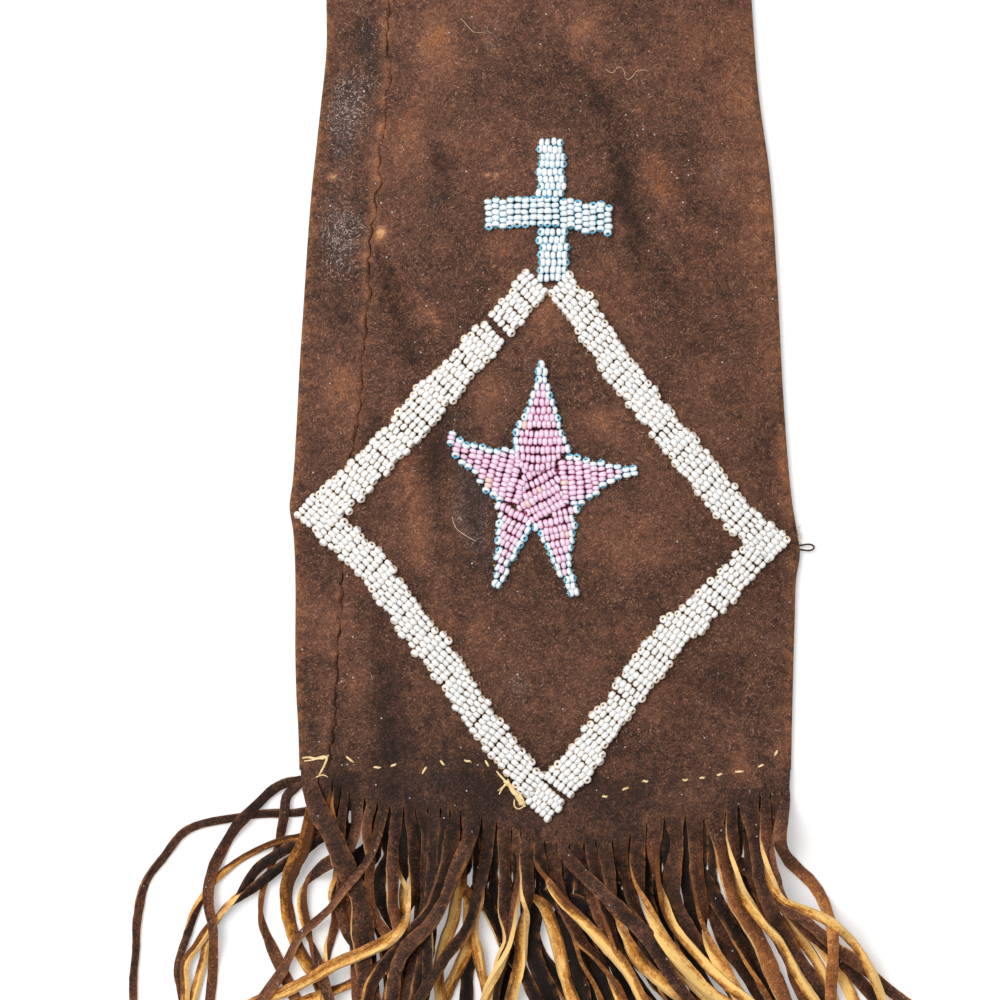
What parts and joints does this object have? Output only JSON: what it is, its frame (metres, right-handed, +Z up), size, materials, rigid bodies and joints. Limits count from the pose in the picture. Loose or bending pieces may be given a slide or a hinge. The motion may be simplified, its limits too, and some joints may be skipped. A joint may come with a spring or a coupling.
{
  "type": "beaded pipe bag",
  "caption": "Long flat pipe bag of dark tanned hide, lying on its back, with a beaded cross, diamond band and star and a slit hide fringe.",
  "frame": {"origin": "on the ground under the middle of the stitches that close the bottom of the bag", "axes": "+Y along the bag towards its open mouth, +X to the right as seen from the front, +Z up out of the beaded front"},
  "size_m": [0.2642, 0.4642, 0.0131],
  "materials": {
    "hide": "matt, rubbed suede with a dark grain",
    "beads_white": "opaque white glass seed beads",
    "beads_blue": "light blue glass seed beads",
    "beads_pink": "pink glass seed beads",
    "sinew": "pale tan sinew thread",
    "wire": "dark, dull wire"
  },
  "bodies": {
    "root": {"hide_pouch": "hide", "fringe_front": "hide", "fringe_back": "hide", "diamond_upper_left_top": "beads_white", "diamond_upper_left": "beads_white", "diamond_upper_right": "beads_white", "diamond_lower_left": "beads_white", "diamond_lower_right": "beads_white", "cross_upright": "beads_blue", "cross_arm_left": "beads_blue", "cross_arm_right": "beads_blue", "star_edging": "beads_blue", "star_arm_1": "beads_pink", "star_arm_2": "beads_pink", "star_arm_3": "beads_pink", "star_arm_4": "beads_pink", "star_arm_5": "beads_pink", "star_centre": "beads_pink", "hem_stitch_01": "sinew", "hem_stitch_02": "sinew", "hem_stitch_03": "sinew", "hem_stitch_04": "sinew", "hem_stitch_05": "sinew", "hem_stitch_06": "sinew", "hem_stitch_07": "sinew", "hem_stitch_08": "sinew", "hem_stitch_09": "sinew", "hem_stitch_10": "sinew", "hem_stitch_11": "sinew", "hem_stitch_12": "sinew", "hem_stitch_13": "sinew", "hem_stitch_14": "sinew", "hem_stitch_15": "sinew", "hem_stitch_16": "sinew", "corner_thread": "sinew", "sinew_knot": "sinew", "seam_sinew": "sinew", "wire_eye": "wire"}
  },
  "joints": []
}
